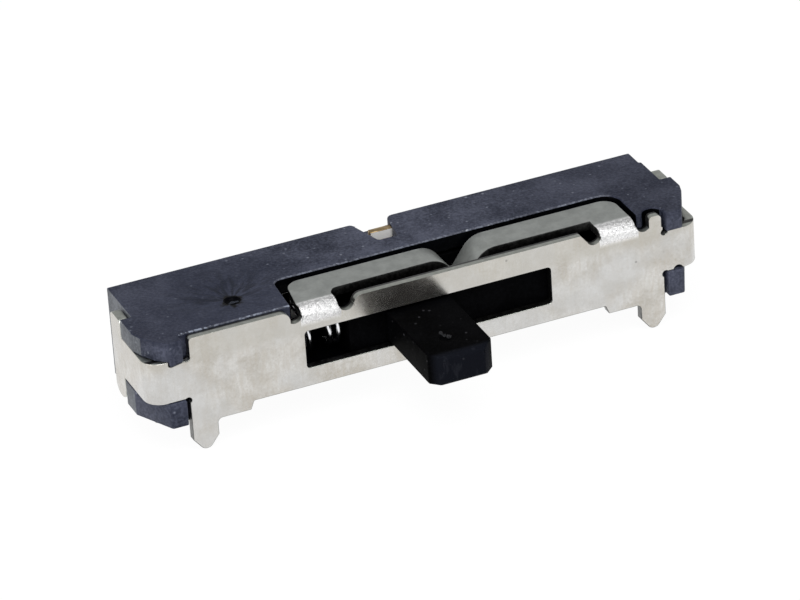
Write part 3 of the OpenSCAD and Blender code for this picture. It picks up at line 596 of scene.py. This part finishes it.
# over a fold the skin is crazed and painted near white as a painted highlight, from just below the
# bend to the leaf's flat
rising = between(tree, place["Z"], 1.19 * MM, 1.31 * MM)
leaning = between(tree, place["Y"], -0.84 * MM, -0.95 * MM)
over_folds = total(tree, *(
    product(tree, maths(tree, "GREATER_THAN", place["X"], (left - 0.03) * MM),
            maths(tree, "LESS_THAN", place["X"], (right + 0.03) * MM)) for left, right in FOLDS))
craze_and_glint = product(tree, over_folds, rising, leaning)
cracks = noise(tree, where, CRAZE, 4.0, 0.75)
bright = mix(tree, between(tree, cracks, 0.4, 0.56), (0.78, 0.78, 0.78, 1), (1.0, 1.0, 1.0, 1))
tree.links.new(mix(tree, craze_and_glint, pricked, bright), shader.inputs["Base Color"])
crinkle = product(tree, maths(tree, "SUBTRACT", cracks, 0.5), craze_and_glint, 72.0)
tree.links.new(total(tree, skin.outputs["Height"], crinkle), bump.inputs["Height"])
tree.links.new(total(tree, skin.outputs["Rough"], product(tree, craze_and_glint, 0.08)),
               shader.inputs["Roughness"])

rolled_mat, tree, shader, skin, _ = plated(
    "rolled sheet edge", (0.44, 0.46, 0.42), (0.60, 0.62, 0.58), 0.1 * MM, 0.03 * MM, 0.4,
    0.002 * MM)
# the edge is torn and dark at the back of the plate
_, place = own_place(tree)
torn = product(tree, between(tree, place["Y"], -1.07 * MM, -1.04 * MM),
               between(tree, place["Y"], -0.95 * MM, -0.98 * MM))
tree.links.new(mix(tree, torn, skin.outputs["Color"], (0.06, 0.06, 0.06, 1)),
               shader.inputs["Base Color"])

# the leaf is painted cooler and darker than the plate as painted shade, with a duller finish, and
# is crazed where it leaves its folds, the crazing painted white as a painted highlight
shaded_leaf_mat, tree, shader, skin, _ = plated(
    "satin leaf painted in shade", (0.285, 0.299, 0.288), (0.40, 0.418, 0.402), 0.25 * MM, 0.04 * MM, 0.42,
    0.002 * MM)
shader.inputs["Metallic"].default_value = 0.6
where, place = own_place(tree)
root = between(tree, place["Y"], -0.86 * MM, FOLD_Y * MM)
root_cracks_and_glint = between(tree, noise(tree, where, CRAZE, 4.0, 0.75), 0.4, 0.56, 0.4, 1.0)
tree.links.new(mix(tree, product(tree, root, root_cracks_and_glint), skin.outputs["Color"], (1, 1, 1, 1)),
               shader.inputs["Base Color"])

# cut faces that don't face up are painted dark as painted shade
shaded_cut_mat = plated("sheet edge painted in shade", (0.08, 0.08, 0.08), (0.22, 0.22, 0.21), 0.06 * MM,
                  0.025 * MM, 0.4, 0.004 * MM)[0]
# cut faces in the leaf and the slot are painted near black as painted shade
deep_shade_edge_mat = plated("sheet edge painted in deep shade", (0.012, 0.012, 0.012), (0.06, 0.06, 0.06), 0.06 * MM,
                   0.02 * MM, 0.45, 0.004 * MM)[0]


def die_roll(bm):
    """The punch has drawn down the front edge along the top of the plate."""
    top = [edge for edge in bm.edges
           if all(v.co.y < PLATE_FRONT * MM and v.co.z > PLATE_TOP * MM for v in edge.verts)
           and edge.calc_face_angle(0) > math.radians(60)]
    bmesh.ops.bevel(bm, geom=top, offset=0.035 * MM, segments=4, profile=0.5, affect="EDGES",
                    clamp_overlap=True)


cover_mesh = eased_form("cover", 0.010 * MM, 2, 40, die_roll)
for mat in (plate_mat, rolled_mat, shaded_cut_mat, deep_shade_edge_mat, shaded_leaf_mat):
    cover_mesh.materials.append(mat)
FACE, ROLLED, SHADED_CUT, DEEP_SHADE_EDGE, SHADED_LEAF = range(5)
for face in cover_mesh.polygons:
    n, at = face.normal, face.center / MM
    in_band = abs(at.x) > BEND_X
    in_leaf = at.y > FOLD_Y and not in_band
    in_slot = abs(at.x) < 2.12 and 0.45 < at.z < 1.12
    in_fold = at.z > FOLD_Z and any(left < at.x < right for left, right in FOLDS)
    # a face is sheared where it crosses the sheet's thickness
    if in_band:
        sheared = abs(n.z) > 0.6 if at.y < BEND_Y else abs(n.x) < 0.5
    elif at.y >= FOLD_Y:
        sheared = abs(n.z) < 0.3 or abs(n.y) > 0.3
    elif in_fold:
        sheared = abs(n.x) > 0.9
    else:
        sheared = abs(n.y) < (0.8 if at.z > PLATE_TOP else 0.95)
    if not sheared:
        # faces of the leaf take the leaf painted in shade
        face.material_index = SHADED_LEAF if in_leaf else FACE
    elif in_slot and n.y < -0.3 and n.z > 0.3:
        face.material_index = ROLLED
    # other cut faces in the leaf and the slot take the edge painted in deep shade
    elif in_leaf or in_slot:
        face.material_index = DEEP_SHADE_EDGE
    else:
        # cut faces that don't face up take the edge painted in shade
        face.material_index = ROLLED if n.z > 0.5 or in_band else SHADED_CUT
piece("cover_sheet", cover_mesh, "switch_body", "cover", "cover")

# ---- Studio --------------------------------------------------------------
# A plain white card under the pegs, soft light from above and in front, and
# the camera in front, to the left and above.
floor_mesh = bpy.data.meshes.new("floor")
HALF = 400 * MM
FLOOR_Z = cad_low.z - 0.02 * MM
corners = [(x * HALF, y * HALF, FLOOR_Z) for x, y in ((-1, -1), (1, -1), (1, 1), (-1, 1))]
floor_mesh.from_pydata(corners, [], [(0, 1, 2, 3)])
floor = bpy.data.objects.new("floor", floor_mesh)
bpy.context.collection.objects.link(floor)
floor_mat = bpy.data.materials.new("white card")
floor_mat.use_nodes = True
tree = floor_mat.node_tree
tree.nodes.remove(tree.nodes["Principled BSDF"])
lit = add(tree, "ShaderNodeBsdfDiffuse", {"Color": (0.8, 0.8, 0.8, 1)})
glow = add(tree, "ShaderNodeEmission", {"Color": (1, 1, 1, 1), "Strength": 1.035})
ray = add(tree, "ShaderNodeLightPath").outputs
shown = maths(tree, "MAXIMUM", ray["Is Camera Ray"],
              maths(tree, "MAXIMUM", ray["Is Glossy Ray"], ray["Is Transmission Ray"]))
card = add(tree, "ShaderNodeMixShader", {0: product(tree, shown, 0.93), 1: lit.outputs[0],
                                         2: glow.outputs[0]})
tree.links.new(card.outputs[0], tree.nodes["Material Output"].inputs["Surface"])
floor_mesh.materials.append(floor_mat)

world = bpy.data.worlds.new("studio")
bpy.context.scene.world = world
world.use_nodes = True
tree = world.node_tree
up = add(tree, "ShaderNodeSeparateXYZ", {0: add(tree, "ShaderNodeTexCoord").outputs["Generated"]})
sky = add(tree, "ShaderNodeMapRange", {"Value": up.outputs["Z"], "From Min": 0.0, "From Max": 0.35,
                                       "To Min": 0.9, "To Max": 0.37})
tree.nodes["Background"].inputs["Color"].default_value = (1, 1, 1, 1)
tree.links.new(sky.outputs[0], tree.nodes["Background"].inputs["Strength"])


def softbox(name, at, size, power, target=(0, 0, 0.5)):
    """A square area light at a place, turned to the target; places are in millimetres."""
    lamp = bpy.data.lights.new(name, "AREA")
    lamp.size = size * MM
    lamp.energy = power
    holder = bpy.data.objects.new(name, lamp)
    bpy.context.collection.objects.link(holder)
    holder.location = Vector(at) * MM
    holder.rotation_euler = (Vector(target) - Vector(at)).to_track_quat("-Z", "Y").to_euler()


softbox("overhead front", (-10, -45, 75), 60, 0.055)
softbox("left fill", (-80, -25, 30), 60, 0.02)

CAMERA_AT = (-27.2048, -68.6592, 41.2654)
CAMERA_TURN = (61.0711, 3.4661, -23.5109)
lens = bpy.data.cameras.new("camera")
lens.lens = 239.353
lens.sensor_width = 36
lens.clip_start = 0.005
lens.clip_end = 2.0
camera = bpy.data.objects.new("camera", lens)
camera.location = Vector(CAMERA_AT) * MM
camera.rotation_euler = Euler([math.radians(angle) for angle in CAMERA_TURN])
bpy.context.collection.objects.link(camera)
bpy.context.scene.camera = camera
bpy.context.scene.view_settings.view_transform = "Standard"
